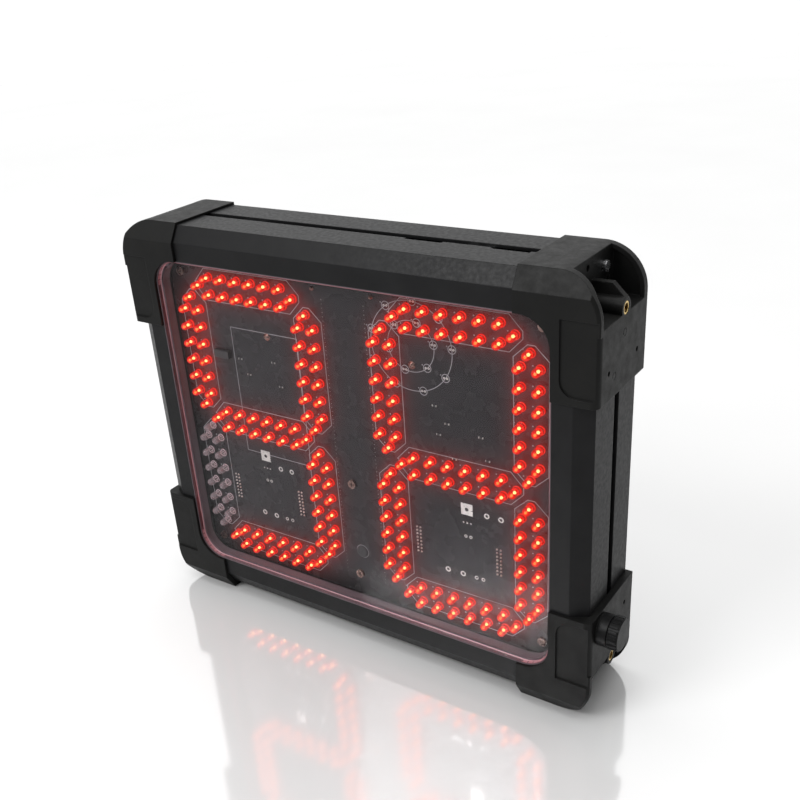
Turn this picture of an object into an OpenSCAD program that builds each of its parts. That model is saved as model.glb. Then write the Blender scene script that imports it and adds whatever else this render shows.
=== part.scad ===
// Two-digit LED gym round timer in an extruded aluminium frame with moulded corner caps.
// Working coordinates: X to the right, Y from the rails' front faces to the back,
// Z up from the middle of the display. placed() moves the finished part onto its base.

/* [Frame] */
// Width over the side rails
frame_w = 322; // [316:1:340]
// Height over the top and bottom rails
frame_h = 266; // [262:1:280]
// Depth of the rails from front to back
rail_depth = 58; // [58:1:64]
// Width of a rail's face, from the window opening outwards
rail_w = 22; // [22:1:24]
// Wall thickness of the rails
wall = 2.5; // [2.2:0.1:2.6]
// Width of the front chamfer, seen from the front
chamfer_w = 10; // [8:1:10]
// Depth of the front chamfer
chamfer_d = 6; // [5:0.5:6]
// Width of the T-slot's mouth
slot_w = 6; // [5:0.5:7]
// Distance of the T-slot's middle behind the front face
slot_y = 33; // [32:0.5:34]

/* [Corner caps] */
// Width over the caps
cap_w = 330; // [328:1:334]
// Height of the top caps' upper edge above the middle of the display
cap_top = 134.5; // [134.5:0.5:137]
// Depth of the bottom caps' feet below the middle of the display
cap_foot = 138.5; // [136:0.5:140]
// How far a cap reaches along the top or bottom rail
cap_leg_x = 47; // [44:1:56]
// How far a cap stands in front of the rails
cap_front = 2; // [1.8:0.1:2.4]
// How far a cap stands behind the rails
cap_rear = 1.5; // [1.5:0.5:4]
// Radius of the outer corner
corner_r = 24; // [18:1:28]
// Radius of the window opening's corners
window_r = 18; // [14:1:20]

/* [Display] */
// Spacing of the LEDs along a segment
led_pitch = 11.8; // [11:0.1:12]
// Spacing of a segment's two rows
led_row_gap = 11.3; // [10.5:0.1:11.6]
// Distance from a segment's middle to its end LEDs
led_end = 38; // [37:0.5:38.5]
// Distance between the middles of two parallel segments
digit_cell = 93.6; // [92:0.2:94]
// Distance of each digit's middle from the middle of the display
digit_x = 74.5; // [73:0.5:75]
// Lens diameter of an LED
led_d = 5; // [4.8:0.1:5]
// Distance of the display board behind the front face
board_y = 13.1; // [13:0.1:14]
// Thickness of the clear window
window_t = 3; // [2:0.5:3]

/* [Side socket] */
// Outer diameter of the socket's collar
socket_d = 19.6; // [18:0.2:20]
// Distance of the socket's axis behind the front face
socket_y = 13.5; // [13.5:0.5:16]
// Height of the socket's axis above the middle of the display
socket_z = -77.5; // [-79:0.5:-77]

/* [Hidden] */

$fn = 48;
tiny = 0.05;

// Frame
open_x = frame_w / 2 - rail_w;
open_z = frame_h / 2 - rail_w;
web_u = 8;
cover_t = 3;
lip_t = 2.5;
slot_lip = 2;
slot_inner_w = 11;
slot_depth = 7;
port_ys = [15, 47];
port_r = 3.2;
port_u = web_u + wall + port_r - 0.4;
port_hole_r = 1.65;
notch_w = 2;
notches = [[36, 60], [90, 113]];

// Corner caps
cap_x = cap_w / 2;
skin_y = -cap_front;
rear_y = rail_depth + cap_rear;
cap_wall = 3;
end_wall_x = open_x + 4;
floor_z = open_z - 7;
pocket_x = end_wall_x + cap_wall;
pocket_z = floor_z + cap_wall;
flange_t = 2.5;
cap_chamfer = [6.9, 11.5];
edge_bevel = 1.5;
edge_r = 4.5;
leg_end_z = 66;
pad = [[open_x + 5, leg_end_z + 4], [cap_x + 1, leg_end_z + 45.5]];
pad_r = 9;
pad_depth = 1;
boss_r = 5.5;
boss_y = 31;
boss_z = floor_z + 5.5;
insert_r = 3.5;
insert_bore_r = 2.5;
insert_len = 10;
screw_r = 1.6;
screw_head_r = 3.1;
screw_head_t = 2;
screw_reach = 10;
gusset_t = 4;

// Display
gasket_lip = 0.5;
gasket_ledge = 2.2;
gasket_y1 = 9.7;
window_y = 0.4;
board_t = 1.6;
board_w = 2 * open_x - 1;
board_h = 2 * open_z - 1;
board_r = 18;
led_flange_r = 2.9;
led_flange_t = 1;
led_gap = 0.2;
led_body = 6.1;
standoff_xz = [[-128.5, 100.5], [128.5, 100.5], [-128.5, -100.5], [128.5, -100.5],
    [-4.7, -26], [-4.7, -94.4]];
header_xs = [-106, -50, 44, 100];
header_z = -53;
header_len = 8.5;
cover_y = rail_depth - cover_t;

// Electronics behind the display
controller_y = 40;
controller_size = [120, 84];
controller_at = [-68, 30];
controller_hole_inset = 5;
supply_at = [70, 20];
supply_size = [64, 26, 112];

// Side socket
socket_r = socket_d / 2;
collar_len = 6.5;
barrel_r = 7.5;
barrel_len = 11;
dust_cap_r = 10.2;
dust_cap_x0 = cap_x + collar_len + 0.3;
dust_cap_len = 6.5;
run_gap = 0.05;
socket_in = 12;
nut_hole_r = barrel_r + 3;
wire_hole_r = 5;
tail = 3;
contact_spots = [for (a = [45:90:315]) [3 * cos(a), 3 * sin(a)]];

centre_x = -(dust_cap_x0 + dust_cap_len - cap_x) / 2;
centre_y = -(rear_y + skin_y) / 2;

module placed() { translate([centre_x, centre_y, cap_foot]) children(); }

// ---- shared shapes ----

// Extrudes a shape drawn in X and Z from depth y0 back to y1
module slab(y0, y1) {
    translate([0, y1, 0]) rotate([90, 0, 0]) linear_extrude(y1 - y0) children();
}

// Turns a section drawn as (outward distance, depth) so that outward is +Z, length along X
module along_x(x0, x1) {
    translate([x1, 0, 0]) rotate([0, -90, 0]) linear_extrude(x1 - x0) children();
}

module rod_y(r, x, z, y0, y1) {
    translate([x, y1, z]) rotate([90, 0, 0]) cylinder(r = r, h = y1 - y0);
}

module rod_x(r, y, z, x0, x1) {
    translate([x0, y, z]) rotate([0, 90, 0]) cylinder(r = r, h = x1 - x0);
}

module rounded_rect(w, h, r) {
    square([w - 2 * r, h], center = true);
    square([w, h - 2 * r], center = true);
    for (sx = [-1, 1], sz = [-1, 1])
        translate([sx * (w / 2 - r), sz * (h / 2 - r)]) circle(r);
}

// ---- rails ----

module rail_outline() {
    polygon([[0, 0], [rail_w - chamfer_w, 0], [rail_w, chamfer_d],
        [rail_w, rail_depth], [0, rail_depth]]);
}

module rail_section() {
    in_x = rail_w - slot_depth;
    difference() {
        rail_outline();
        translate([-tiny, wall])
            square([web_u + tiny, cover_y - lip_t - wall]);
        translate([-tiny, cover_y]) square([web_u + tiny, cover_t + tiny]);
        difference() {
            polygon([[web_u + wall, wall], [rail_w - chamfer_w - 0.5, wall],
                [rail_w - wall, chamfer_d + 1.2], [rail_w - wall, rail_depth - wall],
                [web_u + wall, rail_depth - wall]]);
            translate([in_x - wall, slot_y - slot_inner_w / 2 - wall])
                square([slot_depth + wall, slot_inner_w + 2 * wall]);
            for (y = port_ys) translate([port_u, y]) circle(port_r);
        }
        translate([in_x, slot_y - slot_inner_w / 2])
            square([slot_depth - slot_lip, slot_inner_w]);
        translate([in_x, slot_y - slot_w / 2]) square([slot_depth + 1, slot_w]);
        for (y = port_ys) translate([port_u, y]) circle(port_hole_r);
    }
}

module cover_screw_holes() {
    cover_fixings() rod_y(1.6, 0, 0, cover_y - lip_t - 1, cover_y + 1);
}

module horizontal_rail() {
    difference() {
        along_x(-end_wall_x, end_wall_x) translate([open_z, 0]) rail_section();
        cover_screw_holes();
    }
}

module vertical_rail() {
    difference() {
        translate([open_x, 0, -floor_z]) linear_extrude(2 * floor_z) rail_section();
        cover_screw_holes();
    }
}

module rail_top() {
    color("#2b2c2e") placed() difference() {
        horizontal_rail();
        for (n = notches)
            translate([n[0], slot_y - slot_w / 2 - notch_w, frame_h / 2 - slot_lip - tiny])
                cube([n[1] - n[0], notch_w + 1, slot_lip + 1]);
    }
}

module rail_bottom() { color("#2b2c2e") placed() mirror([0, 0, 1]) horizontal_rail(); }

module rail_left() { color("#2b2c2e") placed() mirror([1, 0, 0]) vertical_rail(); }

// The right rail has a clearance hole for the socket's nut and one for its wires
module rail_right() {
    color("#2b2c2e") placed() difference() {
        vertical_rail();
        rod_x(nut_hole_r, socket_y, socket_z, open_x + web_u + wall, cap_x);
        rod_x(wire_hole_r, socket_y, socket_z, open_x, cap_x);
    }
}

// ---- corner caps, drawn for the top right corner; $z is the cap's outer edge ----

module cap_face() {
    difference() {
        translate([cap_x - cap_leg_x, leg_end_z]) square([cap_leg_x, $z - leg_end_z]);
        rounded_rect(2 * open_x, 2 * open_z, window_r);
    }
}

// Side leg: flat front with a rounded outer edge
module side_leg_section() {
    difference() {
        union() {
            translate([open_x, skin_y]) square([cap_x - open_x - edge_r, rear_y - skin_y]);
            translate([open_x, skin_y + edge_r])
                square([cap_x - open_x, rear_y - skin_y - edge_r]);
            translate([cap_x - edge_r, skin_y + edge_r]) circle(edge_r);
        }
        translate([open_x, 0]) rail_outline();
    }
}

// Top leg: a sleeve over the rail
module top_leg_section() {
    difference() {
        translate([open_z, skin_y]) square([$z - open_z, rear_y - skin_y]);
        translate([open_z, 0]) rail_outline();
    }
}

// Front flange over the corner pocket, with the same chamfer
module pocket_front_section() {
    low = $z - cap_chamfer[1];
    back = skin_y + cap_chamfer[0];
    polygon([[floor_z, skin_y], [low, skin_y], [$z, back], [$z, back + 4], [low, flange_t],
        [floor_z, flange_t]]);
}

module pocket_rim() {
    difference() {
        translate([pocket_x - tiny, pocket_z - tiny])
            square([cap_x - pocket_x + 1, $z - pocket_z + 1]);
        rounded_rect(cap_w - 5, 2 * $z - 5, corner_r - 2.5);
    }
}

module cap_legs() {
    along_x(cap_x - cap_leg_x, end_wall_x + tiny) top_leg_section();
    translate([0, 0, leg_end_z]) linear_extrude(floor_z - leg_end_z + tiny) side_leg_section();
}

// Outline of the whole cap seen from the side, with the chamfer along its top edge
module cap_side_outline() {
    polygon([[0, skin_y], [$z - cap_chamfer[1], skin_y], [$z, skin_y + cap_chamfer[0]],
        [$z, rear_y], [0, rear_y]]);
}

// Section of the cap's outer right edge, with a small bevel in front
module edge_section(reach) {
    polygon([[0, skin_y], [reach - edge_bevel, skin_y], [reach, skin_y + edge_bevel],
        [reach, rear_y], [0, rear_y]]);
}

// Block with a rounded, bevelled top right edge that the cap is cut to
module cap_envelope() {
    translate([0, 0, -1]) linear_extrude($z - corner_r + 1) edge_section(cap_x);
    along_x(0, cap_x - corner_r) edge_section($z);
    translate([cap_x - corner_r, skin_y, $z - corner_r]) rotate([-90, 0, 0]) {
        cylinder(r1 = corner_r - edge_bevel, r2 = corner_r, h = edge_bevel);
        translate([0, 0, edge_bevel])
            cylinder(r = corner_r, h = rear_y - skin_y - edge_bevel);
    }
}

module cap_pocket_walls() {
    slab(skin_y, flange_t) {
        translate([open_x - window_r, open_z - window_r]) square([window_r, window_r]);
        translate([open_x - tiny, floor_z])
            square([end_wall_x - open_x + 2 * tiny, open_z - floor_z]);
    }
    slab(skin_y, rear_y) {
        translate([end_wall_x, floor_z]) square([cap_wall, $z - floor_z]);
        translate([end_wall_x, floor_z]) square([cap_x - end_wall_x, cap_wall]);
    }
    slab(rail_depth, rear_y)
        translate([open_x, floor_z]) square([cap_x - open_x, $z - floor_z]);
    slab(rail_depth - 3, rail_depth + tiny) pocket_rim();
    along_x(end_wall_x, cap_x) pocket_front_section();
}

module cap_boss() {
    rod_x(boss_r, boss_y, boss_z, pocket_x - tiny, cap_x);
    slab(boss_y, boss_y + gusset_t)
        polygon([[pocket_x - tiny, pocket_z - tiny], [pocket_x - tiny, boss_z + 12],
            [cap_x - 8, boss_z + 12], [cap_x, boss_z + 4], [cap_x, pocket_z - tiny]]);
    for (y = [port_ys[1] - 4, port_ys[1] + 3])
        translate([pocket_x - tiny, y, pocket_z - tiny]) cube([1.5, 1.5, boss_z + 9 - pocket_z]);
}

module cap_cuts() {
    // insert bore
    rod_x(insert_r, boss_y, boss_z, cap_x - insert_len - 2, cap_x + 1);
    // screw holes into the ends of the two rails
    rod_x(screw_r + 0.3, port_ys[1], open_z + port_u, end_wall_x - 1, pocket_x + 3);
    for (y = port_ys)
        translate([open_x + port_u, y, floor_z - 1]) cylinder(r = screw_r + 0.3, h = cap_wall + 2);
    // unused pilot hole, and the small holes and ejector marks on the side
    rod_x(1.8, 26, floor_z + 25, pocket_x - 2, pocket_x + 1);
    for (y = [11, 48]) rod_x(1.4, y, leg_end_z + 15.3, cap_x - 2, cap_x + 1);
    for (p = [[30, leg_end_z + 31], [18, leg_end_z + 11.5]]) difference() {
        rod_x(2.2, p[0], p[1], cap_x - 0.25, cap_x + 1);
        rod_x(1.8, p[0], p[1], cap_x - 0.5, cap_x + 1.5);
    }
}

module cap_pad() {
    slab(skin_y - 1, skin_y + pad_depth) {
        translate([pad[0][0] + pad_r, pad[0][1]])
            square([pad[1][0] - pad[0][0] - pad_r, pad[1][1] - pad[0][1]]);
        translate([pad[0][0], pad[0][1] + pad_r])
            square([pad[1][0] - pad[0][0], pad[1][1] - pad[0][1] - pad_r]);
        translate([pad[0][0] + pad_r, pad[0][1] + pad_r]) circle(pad_r);
    }
}

module corner_cap(outer_z) {
    $z = outer_z;
    difference() {
        intersection() {
            union() {
                cap_legs();
                cap_pocket_walls();
                cap_boss();
            }
            slab(skin_y, rear_y) cap_face();
            along_x(0, cap_x) cap_side_outline();
            cap_envelope();
        }
        cap_cuts();
        cap_pad();
    }
}

module corner_cap_top_right() { color("#1e1f20") placed() corner_cap(cap_top); }

module corner_cap_top_left() {
    color("#1e1f20") placed() mirror([1, 0, 0]) corner_cap(cap_top);
}

module corner_cap_bottom_left() {
    color("#1e1f20") placed() mirror([1, 0, 0]) mirror([0, 0, 1]) corner_cap(cap_foot);
}

// The bottom right cap also carries the socket
module corner_cap_bottom_right() {
    color("#1e1f20") placed() difference() {
        mirror([0, 0, 1]) corner_cap(cap_foot);
        rod_x(barrel_r + 0.2, socket_y, socket_z, open_x, cap_x + 1);
        rod_x(nut_hole_r, socket_y, socket_z, open_x, open_x + rail_w);
    }
}

// ---- fasteners of the frame ----

module four_corners() {
    for (sx = [0, 1], sz = [0, 1]) mirror([sx, 0, 0]) mirror([0, 0, sz]) children();
}

module mounting_inserts() {
    color("#c9a227") placed() four_corners() difference() {
        rod_x(insert_r, boss_y, boss_z, cap_x - 0.2 - insert_len, cap_x - 0.2);
        rod_x(insert_bore_r, boss_y, boss_z, cap_x - insert_len - 2, cap_x + 1);
    }
}

// A pan-head screw along -Z, its head's underside at the origin
module pan_screw(r, head_r, head_t, reach) {
    difference() {
        union() {
            cylinder(r = head_r, h = head_t);
            translate([0, 0, -reach]) cylinder(r = r, h = reach + tiny);
        }
        for (a = [0, 90]) rotate(a)
            translate([-head_r * 0.6, -0.35, head_t * 0.45]) cube([head_r * 1.2, 0.7, head_t]);
    }
}

module corner_cap_screws() {
    color("#9a9a9a") placed() four_corners() {
        translate([pocket_x, port_ys[1], open_z + port_u]) rotate([0, 90, 0])
            pan_screw(screw_r, screw_head_r, screw_head_t, screw_reach);
        for (y = port_ys) translate([open_x + port_u, y, pocket_z])
            pan_screw(screw_r, screw_head_r, screw_head_t, screw_reach);
    }
}

// Square nuts that slide along the top rail's T-slot
module slot_nut(x) {
    z0 = frame_h / 2 - slot_depth + 0.3;
    nut_w = slot_inner_w - 0.8;
    nut_t = slot_depth - slot_lip - 0.6;
    difference() {
        translate([x - 8, slot_y - nut_w / 2, z0]) cube([16, nut_w, nut_t]);
        translate([x, slot_y, z0 - 1]) cylinder(r = 2.5, h = nut_t + 2);
    }
}

module slot_nut_left() { color("#8d9092") placed() slot_nut(-80); }

module slot_nut_right() { color("#8d9092") placed() slot_nut(80); }

// ---- display ----

module inset_opening(inset) {
    rounded_rect(2 * (open_x - inset), 2 * (open_z - inset), window_r - inset);
}

module front_window() {
    color([0.85, 0.85, 0.9, 0.3]) placed()
        slab(window_y, window_y + window_t) inset_opening(gasket_lip);
}

module window_gasket() {
    color("#5d5560") placed() difference() {
        slab(0, gasket_y1) inset_opening(0);
        slab(-1, window_y + window_t) inset_opening(gasket_lip);
        slab(1, gasket_y1 + 1) inset_opening(gasket_ledge);
    }
}

module display_board() {
    color("#232526") placed() difference() {
        slab(board_y, board_y + board_t) rounded_rect(board_w, board_h, board_r);
        for (p = standoff_xz) rod_y(1.7, p[0], p[1], board_y - 1, board_y + board_t + 1);
    }
}

function segment_points() = concat(
    [for (i = [0:5], s = [-1, 1]) [(i - 2.5) * led_pitch, s * led_row_gap / 2]],
    [[-led_end, 0], [led_end, 0]]);

function lying(cx, cz) = [for (p = segment_points()) [cx + p[0], cz + p[1]]];

function standing(cx, cz) = [for (p = segment_points()) [cx + p[1], cz + p[0]]];

half = digit_cell / 2;
segments = [
    lying(0, digit_cell), standing(half, half), standing(half, -half), lying(0, -digit_cell),
    standing(-half, -half), standing(-half, half), lying(0, 0)];

module led(x, z) {
    r = led_d / 2;
    base = board_y - led_gap;
    translate([x, base, z]) rotate([90, 0, 0]) rotate_extrude()
        polygon(concat([[0, 0], [led_flange_r, 0], [led_flange_r, led_flange_t],
            [r, led_flange_t]], [for (a = [0:15:90]) [r * cos(a), led_body + r * sin(a)]]));
}

module digit_leds(cx, names) {
    for (n = names, p = segments[n]) led(cx + p[0], p[1]);
}

module leds_right_digit() { color("#ff2a1a") placed() digit_leds(digit_x, [0:6]); }

module leds_left_digit() { color("#ff2a1a") placed() digit_leds(-digit_x, [0, 1, 2, 3, 5, 6]); }

module leds_left_unlit() { color("#d9c9c9") placed() digit_leds(-digit_x, [4]); }

module board_standoffs() {
    color("#c2a14a") placed() for (p = standoff_xz) difference() {
        translate([p[0], cover_y, p[1]]) rotate([90, 0, 0])
            cylinder(r = 4, h = cover_y - board_y - board_t, $fn = 6);
        rod_y(1.6, p[0], p[1], board_y, board_y + board_t + 12);
        rod_y(1.6, p[0], p[1], cover_y - 8, cover_y + 1);
    }
}

module board_screws() {
    color("#b08d57") placed() for (p = standoff_xz)
        translate([p[0], board_y, p[1]]) rotate([90, 0, 0]) pan_screw(1.5, 2.9, 1.6, 9);
}

module board_headers() {
    color("#1b1b1b") placed() for (x = header_xs) {
        slab(board_y + board_t, board_y + board_t + header_len)
            translate([x, header_z]) square([5, 20.5], center = true);
    }
}

module segment_driver_chips() {
    color("#161616") placed() for (x = [-96, -60, 54, 90])
        slab(board_y + board_t, board_y + board_t + 2.6)
            translate([x, -12]) square([10.3, 7.5], center = true);
}

// ---- electronics on the rear cover ----

module controller_board() {
    color("#1f5a34") placed() difference() {
        slab(controller_y, controller_y + board_t)
            translate(controller_at) square(controller_size, center = true);
        controller_fixings() rod_y(1.6, 0, 0, controller_y - 1, controller_y + board_t + 1);
    }
}

module controller_fixings() {
    for (sx = [-1, 1], sz = [-1, 1]) translate([
        controller_at[0] + sx * (controller_size[0] / 2 - controller_hole_inset), 0,
        controller_at[1] + sz * (controller_size[1] / 2 - controller_hole_inset)]) children();
}

module controller_spacers() {
    color("#e8e4d8") placed() controller_fixings() difference() {
        rod_y(3.5, 0, 0, controller_y + board_t, cover_y);
        rod_y(1.6, 0, 0, controller_y, cover_y + 1);
    }
}

module controller_chips() {
    color("#161616") placed() {
        for (c = [[-82, 34, 14, 14, 1.6], [-50, 40, 10.3, 7.5, 2.6], [-50, 22, 10.3, 7.5, 2.6]])
            slab(controller_y - c[4], controller_y)
                translate([c[0], c[1]]) square([c[2], c[3]], center = true);
        for (z = [0, 12]) rod_y(4, -118, z, controller_y - 11, controller_y);
    }
}

module clock_battery() {
    color("#b9bcc0") placed() rod_y(10, -104, 46, controller_y - 3.2, controller_y);
}

module radio_receiver() {
    color("#20406a") placed() {
        slab(controller_y - 6, controller_y - 4.4)
            translate([-24, 58]) square([24, 14], center = true);
        slab(controller_y - 4.4, controller_y)
            translate([-24, 52.5]) square([12, 2.5], center = true);
    }
}

module buzzer() {
    color("#101010") placed() difference() {
        rod_y(11, -84, 4, controller_y - 10, controller_y);
        rod_y(1.5, -84, 4, controller_y - 11, controller_y - 7);
    }
}

module power_supply() {
    color("#b7babd") placed() difference() {
        translate([supply_at[0] - supply_size[0] / 2, cover_y - supply_size[1],
            supply_at[1] - supply_size[2] / 2])
            cube(supply_size);
        for (i = [0:7])
            translate([supply_at[0] - 20, cover_y - supply_size[1] - 1, supply_at[1] - 40 + i * 10])
                cube([40, 2.2, 4]);
    }
}

// Flat cable from a header, under the controller board's edge and up its back
module ribbon_cable() {
    front = board_y + board_t + header_len;
    back = controller_y + board_t;
    bottom = header_z + 34;
    color("#a9adb3") placed() translate([header_xs[1] - 2.5, 0, 0]) {
        translate([0, front, header_z - 10]) cube([5, 1, bottom - header_z + 11]);
        translate([0, front, bottom]) cube([5, back + 1 - front, 1]);
        translate([0, back, bottom]) cube([5, 1, 20]);
    }
}

// Two leads from the socket's upper contacts, through the rail and up into the supply
module power_leads() {
    r = 0.7;
    turn_x = open_x + 5;
    run_y = 44;
    color("#7a1414") placed() for (s = [-1, 1]) {
        y = socket_y + s * contact_spots[0][1];
        z = socket_z + contact_spots[0][0];
        x1 = supply_at[0] + 8 * s;
        run = run_y + 3 * s;
        rod_x(r, y, z, turn_x + s, cap_x - socket_in - tail);
        translate([turn_x + s, y, z]) sphere(r);
        rod_y(r, turn_x + s, z, y, run);
        translate([turn_x + s, run, z]) sphere(r);
        rod_x(r, run, z, x1, turn_x + s);
        translate([x1, run, z]) sphere(r);
        translate([x1, run, z]) cylinder(r = r, h = supply_at[1] - supply_size[2] / 2 - z);
    }
}

// ---- rear cover ----

cover_screw_xs = [-110, -55, 0, 55, 110];
cover_screw_zs = [-50, 0, 50];

module cover_shape() {
    gap = 0.3;
    w = 2 * (open_x + web_u - gap);
    h = 2 * (open_z + web_u - gap);
    square([w, 2 * (floor_z - gap)], center = true);
    square([2 * (end_wall_x - gap), h], center = true);
}

module cover_fixings() {
    for (x = cover_screw_xs, sz = [-1, 1]) translate([x, 0, sz * (open_z + 4)]) children();
    for (z = cover_screw_zs, sx = [-1, 1]) translate([sx * (open_x + 4), 0, z]) children();
}

module rear_cover() {
    color("#2a2b2d") placed() difference() {
        slab(cover_y, rail_depth) cover_shape();
        cover_fixings() rod_y(1.7, 0, 0, cover_y - 1, rail_depth + 1);
    }
}

module rear_cover_screws() {
    color("#8a8a8a") placed() cover_fixings() translate([0, rail_depth, 0]) rotate([-90, 0, 0])
        pan_screw(1.5, 2.9, 1.8, cover_t + lip_t);
}

// ---- side socket ----

module at_socket(x) { translate([x, socket_y, socket_z]) rotate([0, 90, 0]) children(); }

module socket_shell() {
    color("#18191a") placed() difference() {
        union() {
            at_socket(cap_x + 1) cylinder(r = socket_r, h = collar_len - 1);
            at_socket(cap_x - socket_in) cylinder(r = barrel_r, h = socket_in + barrel_len);
        }
        at_socket(cap_x + barrel_len - 8) cylinder(r = barrel_r - 1.5, h = 9);
        for (p = contact_spots) at_socket(cap_x - socket_in - 1)
            translate(p) cylinder(r = 0.8, h = 40);
    }
}

module socket_contacts() {
    color("#d0b060") placed() for (p = contact_spots) at_socket(cap_x - socket_in - tail)
        translate(p) cylinder(r = 0.8, h = socket_in + barrel_len);
}

module socket_nut() {
    color("#b5b7b9") placed() difference() {
        at_socket(cap_x - 4 - 3) cylinder(r = barrel_r + 2.6, h = 3, $fn = 6);
        at_socket(cap_x - 10) cylinder(r = barrel_r, h = 8);
    }
}

module socket_seal() {
    color("#101010") placed() difference() {
        at_socket(cap_x) cylinder(r = socket_r - 0.6, h = 1);
        at_socket(cap_x - 1) cylinder(r = barrel_r, h = 3);
    }
}

// Quarter-turn cap with grip ribs
module socket_dust_cap() {
    ribs = 20;
    color("#161718") placed() difference() {
        union() {
            at_socket(dust_cap_x0) cylinder(r = dust_cap_r - 0.7, h = dust_cap_len);
            for (i = [0:ribs - 1]) at_socket(dust_cap_x0 + 0.5) rotate(i * 360 / ribs)
                translate([dust_cap_r - 1.1, -0.8, 0]) cube([1.1, 1.6, dust_cap_len - 1.2]);
        }
        at_socket(dust_cap_x0 - 1) cylinder(r = barrel_r + run_gap, h = dust_cap_len - 0.8);
    }
}

rail_top();
rail_bottom();
rail_left();
rail_right();
corner_cap_top_left();
corner_cap_top_right();
corner_cap_bottom_left();
corner_cap_bottom_right();
mounting_inserts();
corner_cap_screws();
slot_nut_left();
slot_nut_right();
front_window();
window_gasket();
display_board();
leds_right_digit();
leds_left_digit();
leds_left_unlit();
board_standoffs();
board_screws();
board_headers();
segment_driver_chips();
controller_board();
controller_chips();
controller_spacers();
clock_battery();
radio_receiver();
buzzer();
power_supply();
ribbon_cable();
power_leads();
rear_cover();
rear_cover_screws();
socket_shell();
socket_contacts();
socket_nut();
socket_seal();
socket_dust_cap();
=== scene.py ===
import math

import bmesh
import bpy
import numpy as np
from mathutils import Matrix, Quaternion, Vector


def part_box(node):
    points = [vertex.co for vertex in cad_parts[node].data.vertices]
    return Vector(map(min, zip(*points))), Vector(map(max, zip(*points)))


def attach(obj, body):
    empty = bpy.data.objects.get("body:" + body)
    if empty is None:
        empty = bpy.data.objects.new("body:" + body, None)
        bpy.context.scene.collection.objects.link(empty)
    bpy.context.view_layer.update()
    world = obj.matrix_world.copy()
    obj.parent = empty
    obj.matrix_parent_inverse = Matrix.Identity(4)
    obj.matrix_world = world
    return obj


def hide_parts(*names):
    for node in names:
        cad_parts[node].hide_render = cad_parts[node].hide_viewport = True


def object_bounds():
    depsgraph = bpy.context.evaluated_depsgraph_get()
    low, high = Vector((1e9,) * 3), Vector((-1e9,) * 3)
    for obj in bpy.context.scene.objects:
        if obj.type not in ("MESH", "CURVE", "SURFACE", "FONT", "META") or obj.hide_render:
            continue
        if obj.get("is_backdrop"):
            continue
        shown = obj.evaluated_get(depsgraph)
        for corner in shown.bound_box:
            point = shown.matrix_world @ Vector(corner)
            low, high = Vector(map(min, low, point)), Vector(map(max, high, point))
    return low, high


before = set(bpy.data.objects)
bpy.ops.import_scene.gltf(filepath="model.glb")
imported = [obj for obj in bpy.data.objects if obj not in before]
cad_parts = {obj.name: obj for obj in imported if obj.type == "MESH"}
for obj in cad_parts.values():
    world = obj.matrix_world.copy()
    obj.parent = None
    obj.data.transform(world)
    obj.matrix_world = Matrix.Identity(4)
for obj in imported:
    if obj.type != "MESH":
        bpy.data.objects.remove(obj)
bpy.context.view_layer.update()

MM = 0.001
BODY = "frame"

# Working coordinates are millimetres: X to the right, Y back from the rails' front faces,
# Z up from the middle of the display. at() turns them into the frame's metres.
MID_X = (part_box("rail_left")[0].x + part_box("rail_right")[1].x) / 2
FRONT_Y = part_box("rail_top")[0].y
MID_Z = (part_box("rail_bottom")[0].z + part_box("rail_top")[1].z) / 2
BOARD_Y = (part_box("display_board")[0].y - FRONT_Y) / MM


def at(x, y, z):
    return Vector((MID_X + x * MM, FRONT_Y + y * MM, MID_Z + z * MM))


# ---- meshes ----

SHARPEST_MITRE = 0.3


def piece(name, points, faces, mat, smooth=False):
    """A mesh piece from points in working millimetres, riding on the frame."""
    mesh = bpy.data.meshes.new(name)
    mesh.from_pydata([at(*p) for p in points], [], faces)
    bm = bmesh.new()
    bm.from_mesh(mesh)
    bmesh.ops.recalc_face_normals(bm, faces=bm.faces)
    bm.to_mesh(mesh)
    bm.free()
    mesh.polygons.foreach_set("use_smooth", [smooth] * len(mesh.polygons))
    obj = bpy.data.objects.new(name, mesh)
    bpy.context.scene.collection.objects.link(obj)
    mesh.materials.append(mat)
    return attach(obj, BODY)


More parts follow.
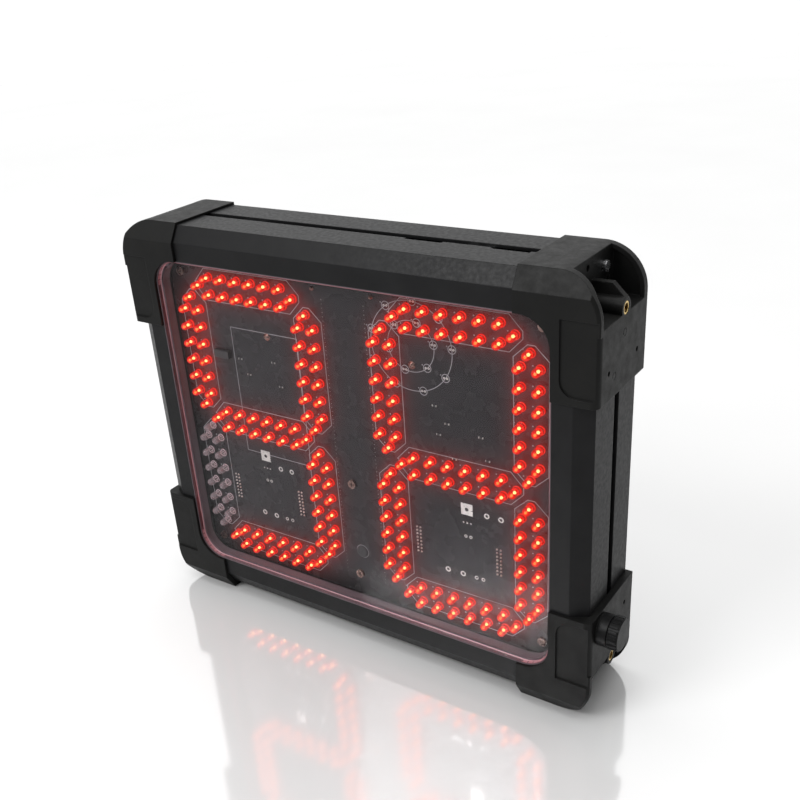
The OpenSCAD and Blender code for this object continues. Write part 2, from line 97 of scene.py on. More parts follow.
class Shape:
    """Collects points and faces of many small solids that become one piece."""

    def __init__(self):
        self.points, self.faces = [], []

    def add(self, points, faces):
        start = len(self.points)
        self.points += points
        self.faces += [tuple(start + i for i in f) for f in faces]

    def turned(self, x, z, profile, sides=16, flat=None):
        """A lathe turned about Y: profile is (radius, y) from back to front."""
        points, faces = [], []
        for r, y in profile:
            for k in range(sides):
                a = 2 * math.pi * k / sides
                px, pz = r * math.cos(a), r * math.sin(a)
                if flat is not None:
                    px = max(px, -flat)
                points.append((x + px, y, z + pz))
        for j in range(len(profile) - 1):
            for k in range(sides):
                a, b = j * sides + k, j * sides + (k + 1) % sides
                faces.append((a, b, b + sides, a + sides))
        faces.append(tuple(range(sides)))
        faces.append(tuple(range(len(points) - 1, len(points) - 1 - sides, -1)))
        self.add(points, faces)

    def box(self, x0, x1, y0, y1, z0, z1):
        points = [(x, y, z) for x in (x0, x1) for y in (y0, y1) for z in (z0, z1)]
        self.add(points, [(0, 1, 3, 2), (4, 6, 7, 5), (0, 4, 5, 1), (2, 3, 7, 6),
                          (0, 2, 6, 4), (1, 5, 7, 3)])

    def closed_strip(self, points, count):
        """Joins a closed run of four-point sections."""
        faces = []
        for k in range(count):
            a, b = 4 * k, 4 * ((k + 1) % count)
            for i in range(4):
                j = (i + 1) % 4
                faces.append((a + i, b + i, b + j, a + j))
        self.add(points, faces)

    def ring(self, x, z, r_in, r_out, y0, y1, sides=20):
        """A flat ring about Y between two depths."""
        points = []
        for k in range(sides):
            a = 2 * math.pi * k / sides
            for r, y in ((r_in, y0), (r_out, y0), (r_out, y1), (r_in, y1)):
                points.append((x + r * math.cos(a), y, z + r * math.sin(a)))
        self.closed_strip(points, sides)

    def line(self, path, width, y0, y1):
        """A mitred ribbon round a closed path of (x, z) points."""
        points = []
        for i, (x, z) in enumerate(path):
            before, after = path[i - 1], path[(i + 1) % len(path)]
            d0 = Vector((x - before[0], z - before[1])).normalized()
            d1 = Vector((after[0] - x, after[1] - z)).normalized()
            normal = Vector((-(d0 + d1).y, (d0 + d1).x)).normalized()
            reach = width / 2 / max(SHARPEST_MITRE, normal.dot(Vector((-d0.y, d0.x))))
            for s, y in ((-1, y0), (1, y0), (1, y1), (-1, y1)):
                points.append((x + s * reach * normal.x, y, z + s * reach * normal.y))
        self.closed_strip(points, len(path))

    def piece(self, name, mat, slot, smooth=False):
        return piece(name, self.points, self.faces, mat, smooth)


def rounded_path(w, h, r, steps=8):
    """Points of a rounded rectangle in X and Z, anticlockwise."""
    out = []
    for cx, cz, a0 in ((1, 1, 0), (-1, 1, 90), (-1, -1, 180), (1, -1, 270)):
        for k in range(steps + 1):
            a = math.radians(a0 + 90 * k / steps)
            out.append((cx * (w / 2 - r) + r * math.cos(a), cz * (h / 2 - r) + r * math.sin(a)))
    return out


# ---- materials ----

# Most of a noise texture's values lie between these.
NOISE_LOW, NOISE_HIGH = 0.3, 0.7


class Material:
    """A small builder round a Principled material and its nodes."""

    def __init__(self, name, color=(0.5, 0.5, 0.5), rough=0.5, metal=0.0, spec=0.5):
        self.mat = bpy.data.materials.new(name)
        self.mat.use_nodes = True
        self.tree = self.mat.node_tree
        self.shader = self.tree.nodes["Principled BSDF"]
        self.set("Base Color", (*color, 1))
        self.set("Roughness", rough)
        self.set("Metallic", metal)
        self.set("Specular IOR Level", spec)
        self.position = self.node("ShaderNodeTexCoord").outputs["Object"]

    def set(self, socket, value):
        self.shader.inputs[socket].default_value = value

    def node(self, kind, **values):
        n = self.tree.nodes.new(kind)
        for key, value in values.items():
            if key in n.inputs:
                n.inputs[key].default_value = value
            else:
                setattr(n, key, value)
        return n

    def link(self, a, b):
        self.tree.links.new(a, b)

    def noise(self, scale, detail=3.0, rough=0.5, stretch=None):
        n = self.node("ShaderNodeTexNoise", Scale=scale, Detail=detail, Roughness=rough)
        source = self.position
        if stretch:
            m = self.node("ShaderNodeMapping", Scale=stretch)
            self.link(source, m.inputs["Vector"])
            source = m.outputs["Vector"]
        self.link(source, n.inputs["Vector"])
        return n.outputs["Fac"]

    def ramp(self, fac, low, high, start=NOISE_LOW, end=NOISE_HIGH):
        n = self.node("ShaderNodeMapRange")
        n.inputs["From Min"].default_value = start
        n.inputs["From Max"].default_value = end
        n.inputs["To Min"].default_value = low
        n.inputs["To Max"].default_value = high
        self.link(fac, n.inputs["Value"])
        return n.outputs["Result"]

    def tint(self, fac, a, b, socket="Base Color"):
        n = self.node("ShaderNodeValToRGB")
        for stop, place, color in zip(n.color_ramp.elements, (NOISE_LOW, NOISE_HIGH), (a, b)):
            stop.position = place
            stop.color = (*color, 1)
        self.link(fac, n.inputs["Fac"])
        self.link(n.outputs["Color"], self.shader.inputs[socket])

    def vary(self, socket, fac, low, high):
        self.link(self.ramp(fac, low, high), self.shader.inputs[socket])

    def bump(self, height, strength, distance, soften=0.0):
        n = self.node("ShaderNodeBump", Strength=strength, Distance=distance)
        self.link(height, n.inputs["Height"])
        if soften:
            b = self.node("ShaderNodeBevel", samples=4)
            b.inputs["Radius"].default_value = soften
            self.link(b.outputs["Normal"], n.inputs["Normal"])
        self.link(n.outputs["Normal"], self.shader.inputs["Normal"])


def powder_coat(name, dark, light, rough=(0.36, 0.5), grain=1500, depth=0.00005, soften=0.0008):
    """Satin black coating with a fine orange-peel grain."""
    m = Material(name, dark, spec=0.15)
    m.tint(m.noise(60, 4), dark, light)
    m.vary("Roughness", m.noise(420, 3), *rough)
    m.bump(m.noise(grain, 2, 0.6), 0.5, depth, soften)
    return m.mat


def moulded(name, dark, light, rough=(0.4, 0.55), grain=1300, depth=0.00007, soften=0.0007):
    """Black moulded plastic with a spark-eroded texture and faint scuffs."""
    m = Material(name, dark, spec=0.13)
    m.tint(m.noise(35, 5, 0.6), dark, light)
    m.vary("Roughness", m.noise(150, 4, 0.7), *rough)
    m.bump(m.noise(grain, 3, 0.7), 0.6, depth, soften)
    return m.mat


def metal(name, dark, light, rough=(0.2, 0.4), streak=(1, 1, 1), grain=900):
    m = Material(name, dark, metal=1.0)
    m.tint(m.noise(180, 4), dark, light)
    m.vary("Roughness", m.noise(grain, 3, stretch=streak), *rough)
    m.bump(m.noise(grain, 2, stretch=streak), 0.25, 0.00003, 0.0002)
    return m.mat


def plain_plastic(name, dark, light, rough=(0.3, 0.45)):
    m = Material(name, dark)
    m.tint(m.noise(220, 4), dark, light)
    m.vary("Roughness", m.noise(600, 2), *rough)
    m.bump(m.noise(2500, 2), 0.3, 0.00003, 0.0003)
    return m.mat


def clear_sheet(name, tint_color, head_on):
    """Thin clear acrylic: see-through, with a reflection that grows towards grazing angles."""
    m = Material(name, tint_color)
    clear = m.node("ShaderNodeBsdfTransparent", Color=(*tint_color, 1))
    gloss = m.node("ShaderNodeBsdfGlossy", Roughness=0.02)
    facing = m.node("ShaderNodeLayerWeight", Blend=0.5).outputs["Facing"]
    rise = m.node("ShaderNodeMath", operation="POWER")
    rise.inputs[1].default_value = 5
    m.link(facing, rise.inputs[0])
    fresnel = m.ramp(rise.outputs["Value"], head_on, 1.0, 0.0, 1.0)
    wave = m.node("ShaderNodeBump", Strength=0.04, Distance=0.0002)
    m.link(m.noise(14, 1), wave.inputs["Height"])
    m.link(wave.outputs["Normal"], gloss.inputs["Normal"])
    mix = m.node("ShaderNodeMixShader")
    m.link(fresnel, mix.inputs["Fac"])
    m.link(clear.outputs["BSDF"], mix.inputs[1])
    m.link(gloss.outputs["BSDF"], mix.inputs[2])
    m.link(mix.outputs["Shader"], m.tree.nodes["Material Output"].inputs["Surface"])
    return m.mat


def lamp_lens(name, body, glow, strength, alpha):
    """Tinted epoxy lens, half see-through; its glow attribute says where light leaves it, with
    painted highlights at the flange rim and towards the dome's tip. On unlit lamps the faint emission
    is a painted sheen.
    """
    m = Material(name, body, 0.1, spec=0.25)
    m.tint(m.noise(700, 2), body, tuple(c * 0.7 for c in body))
    m.set("Emission Color", (*glow, 1))
    m.set("Alpha", alpha)
    light = m.node("ShaderNodeAttribute", attribute_name="glow")
    m.link(m.ramp(light.outputs["Fac"], 0.0, strength, 0.0, 1.0),
           m.shader.inputs["Emission Strength"])
    return m.mat


def painted_edge_glow(name, body, glow, strength, alpha):
    """Sawn acrylic edge with a painted pink glow: a fixed emission stands in for the lamps' light
    carried along the acrylic and for its edge highlights.
    """
    m = Material(name, body, 0.35)
    m.tint(m.noise(90, 3), body, tuple(c * 0.7 for c in body))
    m.set("Alpha", alpha)
    m.set("Emission Color", (*glow, 1))
    m.vary("Emission Strength", m.noise(22, 2), strength * 0.5, strength * 1.4)
    return m.mat


# emission for the lamps' dies, and for painted highlights on the lamp rings and dome tips
def glowing(name, color, strength):
    m = Material(name, color, 0.4)
    m.tint(m.noise(900, 2), color, tuple(c * 0.9 for c in color), socket="Emission Color")
    m.set("Emission Strength", strength)
    return m.mat


def lacquer_painted_glow():
    """Near-black solder mask over copper areas, with a painted red glow of the lamps' light read from
    the glow attribute.
    """
    m = Material("lacquer_painted_glow", (0.015, 0.015, 0.015), spec=0.28)
    m.tint(m.noise(28, 4, 0.6), (0.013, 0.012, 0.013), (0.018, 0.0165, 0.018))
    m.vary("Roughness", m.noise(90, 3), 0.24, 0.3)
    # painted light: the emission below paints the lamps' red light onto the board
    glow = m.node("ShaderNodeAttribute", attribute_name="glow")
    m.set("Emission Color", (1.0, 0.03, 0.025, 1))
    m.link(m.ramp(glow.outputs["Fac"], 0.0, 0.65, 0.0, 1.0), m.shader.inputs["Emission Strength"])
    return m.mat


def floor_white():
    """White acrylic sweep with a soft mirror image."""
    m = Material("floor_white", (0.7, 0.7, 0.7), 0.1, 0.3)
    m.tint(m.noise(3, 3), (0.76, 0.76, 0.76), (0.79, 0.79, 0.79))
    m.vary("Roughness", m.noise(8, 3), 0.07, 0.1)
    return m.mat


RAIL = powder_coat("rail_coating", (0.006, 0.006, 0.0065), (0.009, 0.009, 0.0095))
CAP = moulded("cap_plastic", (0.005, 0.005, 0.005), (0.008, 0.008, 0.0075))
SOCKET = moulded("socket_nylon", (0.0035, 0.0035, 0.004), (0.006, 0.006, 0.006), (0.32, 0.45))
COVER = powder_coat("cover_coating", (0.009, 0.009, 0.01), (0.013, 0.013, 0.014), soften=0.0005)
BRASS = metal("turned_brass", (0.62, 0.42, 0.12), (0.80, 0.58, 0.22), (0.18, 0.34))
DULL = metal("dull_bronze", (0.2, 0.13, 0.11), (0.32, 0.22, 0.19))
STEEL = metal("zinc_steel", (0.42, 0.42, 0.43), (0.62, 0.62, 0.63))
CELL = metal("cell_steel", (0.6, 0.6, 0.6), (0.75, 0.75, 0.74), (0.12, 0.25))
SHEET = metal("folded_sheet", (0.5, 0.5, 0.52), (0.62, 0.62, 0.63), (0.3, 0.5), (1, 1, 12))
GASKET = moulded("gasket_rubber", (0.11, 0.085, 0.096), (0.16, 0.125, 0.138), (0.5, 0.65), 1500)
RUBBER = moulded("seal_rubber", (0.012, 0.012, 0.012), (0.02, 0.02, 0.02), (0.6, 0.8), 1500)
CHIP = plain_plastic("chip_epoxy", (0.015, 0.015, 0.015), (0.03, 0.03, 0.03))
GREEN = plain_plastic("green_board", (0.015, 0.09, 0.03), (0.03, 0.15, 0.05))
BLUE = plain_plastic("blue_board", (0.015, 0.04, 0.16), (0.03, 0.07, 0.24))
NYLON = plain_plastic("white_nylon", (0.62, 0.6, 0.55), (0.75, 0.73, 0.68))
CABLE = plain_plastic("grey_cable", (0.3, 0.31, 0.33), (0.4, 0.41, 0.43))
LEAD = plain_plastic("red_lead", (0.22, 0.01, 0.01), (0.35, 0.02, 0.02))
BOARD = plain_plastic("board_laminate", (0.03, 0.03, 0.028), (0.06, 0.055, 0.05))
LACQUER_PAINTED_GLOW = lacquer_painted_glow()
SILK = plain_plastic("silk_ink", (0.32, 0.31, 0.32), (0.42, 0.41, 0.42), (0.5, 0.6))
PAD = metal("tinned_pad", (0.6, 0.58, 0.55), (0.78, 0.76, 0.72), (0.25, 0.4))
WINDOW = clear_sheet("clear_acrylic", (0.97, 0.96, 0.97), 0.009)
WINDOW_EDGE_PAINTED_GLOW = painted_edge_glow("acrylic_edge_painted_glow", (0.5, 0.3, 0.33), (1.0, 0.22, 0.25), 0.16, 0.75)
# lit lenses: the lamps' own light, with painted highlights at the flange rim and dome's tip
LENS_LIT = lamp_lens("red_lens", (0.25, 0.002, 0.001), (1.0, 0.012, 0.004), 1.15, 0.72)
# unlit lenses: their faint pinkish emission is a painted sheen
UNLIT_LENS_PAINTED_SHEEN = lamp_lens("clear_lens_painted_sheen", (0.5, 0.42, 0.44), (1.0, 0.7, 0.72), 0.05, 0.38)
# lit rings: lamp light with a painted rim highlight; unlit rings glow only as a painted highlight
RING_LIT = glowing("lamp_ring", (1.0, 0.1, 0.07), 0.75)
UNLIT_RING_PAINTED_HIGHLIGHT = glowing("unlit_ring_painted_highlight", (0.75, 0.6, 0.62), 0.3)
CORE = glowing("lamp_core", (1.0, 0.48, 0.16), 10.0)
# the tip spot is a painted highlight: the die's image in the dome
TIP_PAINTED_HIGHLIGHT = glowing("lamp_tip_painted_highlight", (1.0, 0.22, 0.04), 5.0)

NODE_MATERIALS = {
    "rail_top": RAIL, "rail_bottom": RAIL, "rail_left": RAIL, "rail_right": RAIL,
    "corner_cap_top_left": CAP, "corner_cap_top_right": CAP,
    "corner_cap_bottom_left": CAP, "corner_cap_bottom_right": CAP,
    "mounting_inserts": BRASS, "corner_cap_screws": STEEL,
    "slot_nut_left": STEEL, "slot_nut_right": STEEL, "window_gasket": GASKET,
    "display_board": BOARD, "board_standoffs": BRASS, "board_screws": DULL,
    "board_headers": CHIP, "segment_driver_chips": CHIP, "controller_board": GREEN,
    "controller_chips": CHIP, "controller_spacers": NYLON, "clock_battery": CELL,
    "radio_receiver": BLUE, "buzzer": CHIP, "power_supply": SHEET,
    "ribbon_cable": CABLE, "power_leads": LEAD, "rear_cover": COVER,
    "rear_cover_screws": STEEL, "socket_shell": SOCKET, "socket_contacts": BRASS,
    "socket_nut": STEEL, "socket_seal": RUBBER, "socket_dust_cap": SOCKET,
}


def dress_nodes():
    for name, mat in NODE_MATERIALS.items():
        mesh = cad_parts[name].data
        mesh.materials.clear()
        mesh.materials.append(mat)


# ---- lamps ----

def lamp_centres(node):
    """(x, z) of each lamp in a node, in working millimetres, from its dome's tip."""
    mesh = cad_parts[node].data
    co = np.empty(len(mesh.vertices) * 3)
    mesh.vertices.foreach_get("co", co)
    co = co.reshape(-1, 3)
    tips = co[co[:, 1] < co[:, 1].min() + 0.02 * MM]
    spots = {(round((x - MID_X) / MM, 1), round((z - MID_Z) / MM, 1)) for x, _, z in tips}
    return sorted(spots)


LAMP_R = 2.5
FLANGE_R = 2.9
FLANGE_FLAT = 2.55
LAMP_SIDES = 20
LEAD_X = 1.27
LEAD_HALF = 0.25
LAMP_BACK = BOARD_Y - 0.2
LAMP_DOME = LAMP_BACK - 6.1
DIE_Y = LAMP_BACK - 3.1


def lens_profile():
    """(radius, depth, share of light) from the flange to the dome's tip. The share is the lamp's own
    light, raised at the flange rim and towards the dome's tip as painted highlights.
    """
    edge = [(FLANGE_R - 0.15, LAMP_BACK, 0.3), (FLANGE_R, LAMP_BACK - 0.15, 0.5),
            (FLANGE_R, LAMP_BACK - 0.85, 0.75), (FLANGE_R - 0.15, LAMP_BACK - 1.0, 0.7),
            (LAMP_R, LAMP_BACK - 1.1, 0.2), (LAMP_R, LAMP_BACK - 2.0, 0.25),
            (LAMP_R, DIE_Y, 0.85), (LAMP_R, DIE_Y - 1.2, 0.7), (LAMP_R, LAMP_DOME, 0.3)]
    dome = [(LAMP_R * math.cos(a), LAMP_DOME - LAMP_R * math.sin(a), 0.3 + 0.4 * math.sin(a))
            for a in (math.radians(d) for d in (15, 30, 45, 60, 74, 86))]
    return edge + dome


def lamps(node, name, lens, lit, slot):
    """Lenses with their light spots and leads, in place of a node's plain lamps. The spots are the
    glowing dies, with painted highlights at the dome's tip and the flange rings.
    """
    spots = lamp_centres(node)
    lenses, rings, cores, tips, pins = (Shape() for _ in range(5))
    profile = lens_profile()
    for x, z in spots:
        lenses.turned(x, z, [p[:2] for p in profile], LAMP_SIDES, FLANGE_FLAT)
        # rings at the flange: lamp light with a painted rim highlight when lit, a painted highlight
        # only when unlit
        rings.ring(x, z, 2.45, 2.72, LAMP_BACK - 0.9, LAMP_BACK - 0.6, LAMP_SIDES)
        rings.ring(x, z, 1.75, 1.95, LAMP_BACK - 1.7, LAMP_BACK - 1.5, LAMP_SIDES)
        cores.turned(x, z, [(0.4, DIE_Y + 0.8), (0.9, DIE_Y + 0.3), (0.95, DIE_Y - 0.4),
                            (0.5, DIE_Y - 1.1)], 10)
        # painted highlight: the die's image near the dome's tip, set towards the lower left
        y = LAMP_DOME - 0.8
        tips.turned(x - 0.3, z - 0.3, [(0.3, y + 1.6), (0.75, y + 0.8), (0.85, y), (0.5, y - 0.5)],
                    10)
        for side in (-1, 1):
            pins.box(x + side * LEAD_X - LEAD_HALF, x + side * LEAD_X + LEAD_HALF,
                     DIE_Y + 0.4, BOARD_Y, z - LEAD_HALF, z + LEAD_HALF)
    glass = lenses.piece(name + "_lenses", lens, slot=slot, smooth=True)
    layer = glass.data.attributes.new("glow", "FLOAT", "POINT")
    levels = np.repeat([p[2] for p in profile], LAMP_SIDES)
    layer.data.foreach_set("value", np.tile(levels, len(spots)).astype(np.float32))
    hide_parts(node)
    rings.piece(name + "_rings", RING_LIT if lit else UNLIT_RING_PAINTED_HIGHLIGHT, slot=slot, smooth=True)
    if lit:
        cores.piece(name + "_cores", CORE, slot=slot, smooth=True)
        tips.piece(name + "_tips", TIP_PAINTED_HIGHLIGHT, slot=slot, smooth=True)
    pins.piece(name + "_lead_frames", PAD, slot="steel")
    return spots


# ---- display board ----

BOARD_W = (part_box("display_board")[1].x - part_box("display_board")[0].x) / MM
BOARD_H = (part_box("display_board")[1].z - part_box("display_board")[0].z) / MM
BOARD_R = 18.0
DIGIT_X = 74.5
CELL_SIZE = 93.6
FACE_Y = BOARD_Y - 0.08
HEADER_XS = (-106, -50, 44, 100)
HEADER_Z = -53
HEADER_PITCH = 2.54
INK_Y = FACE_Y - 0.05
INK_W = 0.42
RING_X, RING_Z = 46, 76
DISC_X, DISC_Z = -1.5, -76.2
VIA_PITCH = 2.7
# strength and reach of the painted red pool of lamp light on the board
NEAR_PAINTED_GLOW, NEAR_REACH = 0.2, 5.0
FAR_PAINTED_GLOW, FAR_REACH = 0.03, 12.0


def lacquer_sheet_painted_glow(lit):
    """The board's front face as a fine grid whose glow attribute paints a pool of red lamp light that
    falls off round each lit lamp.
    """
    step = 1.6
    rows = int(BOARD_H / step)
    cols = int(BOARD_W / step)
    points = []
    for j in range(rows + 1):
        z = -BOARD_H / 2 + BOARD_H * j / rows
        over = max(0.0, abs(z) - (BOARD_H / 2 - BOARD_R))
        half = BOARD_W / 2 - BOARD_R + math.sqrt(max(0.0, BOARD_R ** 2 - over ** 2))
        points += [(-half + 2 * half * i / cols, FACE_Y, z) for i in range(cols + 1)]
    faces = []
    for j in range(rows):
        for i in range(cols):
            a = j * (cols + 1) + i
            faces.append((a, a + 1, a + cols + 2, a + cols + 1))
    sheet = piece("board_face", points, faces, LACQUER_PAINTED_GLOW)
    xz = np.array([(p[0], p[2]) for p in points])
    glow = np.zeros(len(xz))
    for x, z in lit:
        d2 = ((xz - (x, z)) ** 2).sum(1)
        glow += NEAR_PAINTED_GLOW * np.exp(-d2 / NEAR_REACH ** 2)
        glow += FAR_PAINTED_GLOW * np.exp(-d2 / FAR_REACH ** 2)
    layer = sheet.data.attributes.new("glow", "FLOAT", "POINT")
    layer.data.foreach_set("value", np.clip(glow, 0, 1).astype(np.float32))


def segment_outlines(ink):
    """The printed outline round each of the fourteen segments."""
    half_len, half_w, flat_len, blunt = 42.0, 10.6, 34.0, 2.2
    shape = [(flat_len, half_w), (-flat_len, half_w), (-half_len, blunt), (-half_len, -blunt),
             (-flat_len, -half_w), (flat_len, -half_w), (half_len, -blunt), (half_len, blunt)]
    c = CELL_SIZE / 2
    for sx in (-1, 1):
        for z in (-CELL_SIZE, 0, CELL_SIZE):
            ink.line([(sx * DIGIT_X + px, z + pz) for px, pz in shape], INK_W, INK_Y, FACE_Y)
        for side in (-1, 1):
            for z in (-c, c):
                ink.line([(sx * DIGIT_X + side * c + pz, z + px) for px, pz in shape],
                         INK_W, INK_Y, FACE_Y)


def board_details(spots):
    """Print, solder lands, small parts and studs on the board's front face."""
    ink, pads, dark, studs = (Shape() for _ in range(4))
    segment_outlines(ink)
    # a mark beside every lamp
    for x, z in spots:
        ink.turned(x - 4.8, z + 1.2, [(0.45, FACE_Y), (0.4, INK_Y)], 8)
    # a printed rectangle in the left digit
    ink.line([(-92, 67.2), (-37.8, 67.2), (-37.8, -21.5), (-92, -21.5)], INK_W, INK_Y, FACE_Y)
    # two rings of unused lamp places
    for r, count, start in ((27.2, 9, 5), (15.5, 6, 12)):
        ink.ring(RING_X, RING_Z, r - 0.2, r + 0.2, INK_Y, FACE_Y, 72)
        for k in range(count):
            a = math.radians(start + 360 * k / count)
            x, z = RING_X + r * math.cos(a), RING_Z + r * math.sin(a)
            ink.ring(x, z, 2.3, 2.7, INK_Y - 0.02, FACE_Y, 18)
            ink.turned(x - 3.2, z + 1.6, [(0.4, FACE_Y), (0.35, INK_Y)], 8)
            for s in (-1.0, 1.0):
                pads.ring(x + s, z, 0.3, 0.7, INK_Y - 0.08, FACE_Y, 10)
    # square solder lands with an eyelet
    for x, z in ((-76.7, -23.0), (79.0, -22.0)):
        pads.line([(x - 2.6, z - 2.6), (x + 2.6, z - 2.6), (x + 2.6, z + 2.6),
                   (x - 2.6, z + 2.6)], 2.6, INK_Y - 0.1, FACE_Y)
        pads.ring(x, z, 1.3, 2.3, INK_Y - 0.3, FACE_Y, 20)
        for k in (-1, 0, 1):
            pads.turned(x + 2.5 * k, z - 9.4, [(0.6, FACE_Y), (0.5, INK_Y - 0.2)], 10)
        for k in (0, 1):
            pads.ring(x - 1.2 + 3.4 * k, z - 18.9, 0.5, 1.1, INK_Y - 0.1, FACE_Y, 12)
    # ring lands for wires and capacitors
    for xs in ((-84.5, -74.0, -64.6, -59.8), (64.2, 74.9, 84.3, 89.0)):
        for x, hole, rim in zip(xs, (1.0, 1.0, 0.7, 0.7), (1.9, 1.9, 1.3, 1.3)):
            pads.ring(x, -69.0, hole, rim, INK_Y - 0.1, FACE_Y, 16)
    for x, z in ((-64.6, -30.1), (-55.2, -30.1), (92.4, -23.0), (101.8, -23.0)):
        pads.ring(x, z, 1.0, 1.8, INK_Y - 0.1, FACE_Y, 16)
    # soldered ends of the headers
    for x in HEADER_XS:
        for i in range(8):
            for s in (-HEADER_PITCH / 2, HEADER_PITCH / 2):
                pads.turned(x + s, HEADER_Z + (i - 3.5) * HEADER_PITCH,
                            [(0.75, FACE_Y), (0.55, INK_Y - 0.25), (0.25, INK_Y - 0.8)], 10)
    # stitched vias along the middle gap
    for x in (-15.5, 15.0):
        for i in range(72):
            pads.turned(x, -96 + i * VIA_PITCH, [(0.22, FACE_Y), (0.18, INK_Y - 0.02)], 6)
    # stud heads, and the round part low in the middle
    for x, z, r in ((-61.8, 64.9, 2.4), (46.1, 64.7, 2.4), (-21.6, 101.8, 1.4), (20.8, 101.8, 1.4)):
        studs.turned(x, z, [(r, FACE_Y), (r, FACE_Y - 0.3), (0.7 * r, FACE_Y - 0.4),
                            (0.65 * r, FACE_Y - 1.2), (0.3 * r, FACE_Y - 1.6)], 20)
    ink.ring(DISC_X, DISC_Z, 4.4, 4.9, INK_Y, FACE_Y, 28)
    dark.turned(DISC_X, DISC_Z, [(4.2, FACE_Y), (4.2, FACE_Y - 0.8), (3.6, FACE_Y - 1.2)], 28)
    # small parts
    dark.box(-107, -95, FACE_Y - 3.0, FACE_Y, 45.3, 50.3)
    for x, z in ((-87, 46), (-81, 36), (-55, 32), (-59, 48), (62, 24), (68, 32), (90, 28),
                 (94, 14), (60, 42), (72, 10)):
        dark.box(x - 0.9, x + 0.9, FACE_Y - 0.6, FACE_Y, z - 0.5, z + 0.5)
        for s in (-1.2, 1.2):
            pads.box(x + s - 0.3, x + s + 0.3, FACE_Y - 0.5, FACE_Y, z - 0.5, z + 0.5)
    ink.piece("board_silk", SILK, slot="board_black")
    pads.piece("board_lands", PAD, slot="steel")
    dark.piece("board_small_parts", CHIP, slot="component_black")
    studs.piece("board_studs", DULL, slot="brass", smooth=True)


# ---- window ----

WINDOW_BEVEL, WINDOW_R = 0.5, 17.5


def window():
    """The clear pane with bevelled edges that carry a painted faint glow."""
    lo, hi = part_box("front_window")
    w, h = (hi.x - lo.x) / MM, (hi.z - lo.z) / MM
    y0, y1 = (lo.y - FRONT_Y) / MM, (hi.y - FRONT_Y) / MM
    rings = [(WINDOW_BEVEL, y0), (0.0, y0 + WINDOW_BEVEL), (0.0, y1 - WINDOW_BEVEL),
             (WINDOW_BEVEL, y1)]
    loops = [[(x, y, z) for x, z in rounded_path(w - 2 * i, h - 2 * i, WINDOW_R - i)]
             for i, y in rings]
    n = len(loops[0])
    points = [p for loop in loops for p in loop]
    faces = [tuple(range(n)), tuple(range(4 * n - 1, 3 * n - 1, -1))]
    for j in range(3):
        faces += [(j * n + k, j * n + (k + 1) % n, (j + 1) * n + (k + 1) % n, (j + 1) * n + k)
                  for k in range(n)]
    pane = piece("clear_window", points, faces, WINDOW)
    # the edge faces get the painted pink glow
    pane.data.materials.append(WINDOW_EDGE_PAINTED_GLOW)
    for i, polygon in enumerate(pane.data.polygons):
        polygon.material_index = 0 if i < 2 else 1
    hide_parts("front_window")


# ---- studio ----

def camera():
    """Looks at the display from its right and from above."""
    data = bpy.data.cameras.new("camera")
    cam = bpy.data.objects.new("camera", data)
    bpy.context.scene.collection.objects.link(cam)
    azimuth, elevation, roll = math.radians(36.56), math.radians(27.19), math.radians(-4.68)
    cam.location = at(341.2, -426.7, 284.1)
    cam.rotation_mode = "QUATERNION"
    forward = Vector((-math.sin(azimuth) * math.cos(elevation),
                      math.cos(azimuth) * math.cos(elevation), -math.sin(elevation)))
    turn = forward.to_track_quat("-Z", "Y")
    data.sensor_width = 36
    data.lens = 45.06
    data.shift_x, data.shift_y = 0.03125, 0.0625
    data.clip_start, data.clip_end = 0.01, 50
    cam.rotation_quaternion = Quaternion(forward, -roll) @ turn
    bpy.context.scene.camera = cam


def softbox(name, place, target, size, power):
    data = bpy.data.lights.new(name, "AREA")
    data.shape, data.size, data.energy = "SQUARE", size, power
    obj = bpy.data.objects.new(name, data)
    bpy.context.scene.collection.objects.link(obj)
    obj.location = place
    obj.rotation_mode = "QUATERNION"
    obj.rotation_quaternion = (Vector(target) - Vector(place)).to_track_quat("-Z", "Y")
    obj.visible_camera = False


FLOOR_HALF = 40.0
# (axis, where the change starts, where it ends, strength before, strength after)
BACKDROP_SWEEPS = (((-0.6, 0.8, 0), 0.2, 0.55, 0.35, 1.1), ((0, 0, 1), 0.75, 0.95, 1.0, 0.5))


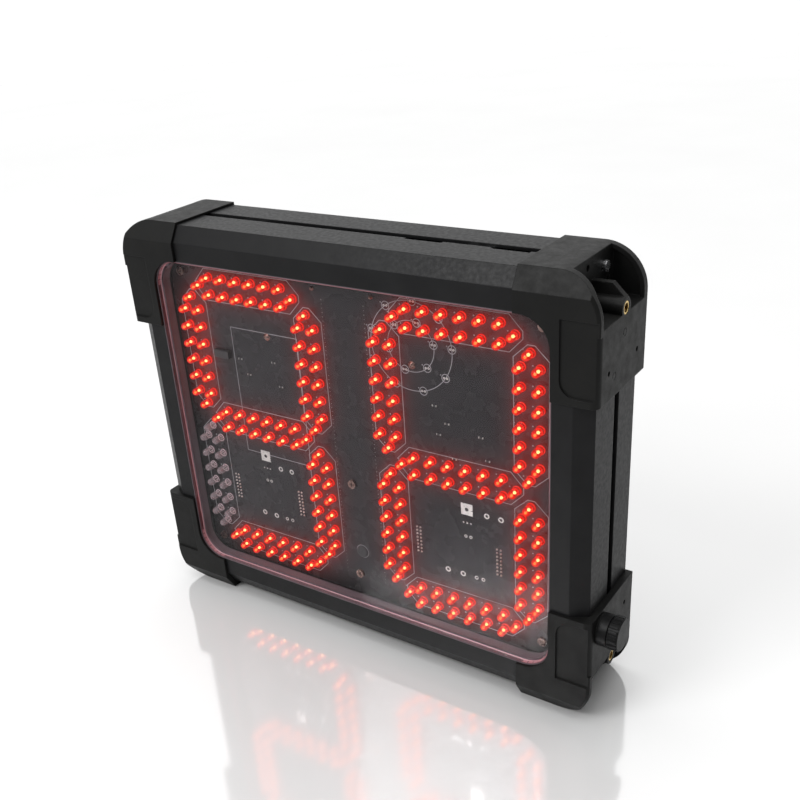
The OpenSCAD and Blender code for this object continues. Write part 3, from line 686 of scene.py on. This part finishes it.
def backdrop():
    """White surroundings: brightest behind and left of the part, dim in front, right and overhead."""
    world = bpy.data.worlds.new("studio")
    world.use_nodes = True
    tree = world.node_tree
    direction = tree.nodes.new("ShaderNodeTexCoord").outputs["Generated"]
    background = tree.nodes["Background"]
    background.inputs["Color"].default_value = (1, 1, 1, 1)
    product = tree.nodes.new("ShaderNodeMath")
    product.operation = "MULTIPLY"
    for i, (axis, *limits) in enumerate(BACKDROP_SWEEPS):
        along = tree.nodes.new("ShaderNodeVectorMath")
        along.operation = "DOT_PRODUCT"
        along.inputs[1].default_value = axis
        tree.links.new(direction, along.inputs[0])
        ramp = tree.nodes.new("ShaderNodeMapRange")
        for socket, value in zip(("From Min", "From Max", "To Min", "To Max"), limits):
            ramp.inputs[socket].default_value = value
        tree.links.new(along.outputs["Value"], ramp.inputs["Value"])
        tree.links.new(ramp.outputs["Result"], product.inputs[i])
    tree.links.new(product.outputs["Value"], background.inputs["Strength"])
    bpy.context.scene.world = world


def studio():
    mesh = bpy.data.meshes.new("floor")
    s, z = FLOOR_HALF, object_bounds()[0].z
    mesh.from_pydata([(-s, -s, z), (s, -s, z), (s, s, z), (-s, s, z)], [], [(0, 1, 2, 3)])
    floor = bpy.data.objects.new("floor", mesh)
    bpy.context.scene.collection.objects.link(floor)
    mesh.materials.append(floor_white())
    floor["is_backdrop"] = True
    backdrop()
    sky = bpy.data.lights.new("soft_overhead", "SUN")
    sky.energy, sky.angle = 2.1, math.radians(60)
    bpy.context.scene.collection.objects.link(bpy.data.objects.new("soft_overhead", sky))
    softbox("chamfer_softbox", (-0.55, -1.3, 1.4), (0.1, 0, 0.25), 0.8, 22)
    bpy.context.scene.view_settings.view_transform = "Standard"


camera()
dress_nodes()
lit = lamps("leds_right_digit", "right_digit", LENS_LIT, True, "led_red")
lit += lamps("leds_left_digit", "left_digit", LENS_LIT, True, "led_red")
unlit = lamps("leds_left_unlit", "left_unlit", UNLIT_LENS_PAINTED_SHEEN, False, "led_clear")
lacquer_sheet_painted_glow(lit)
board_details(lit + unlit)
window()
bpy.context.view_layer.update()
studio()
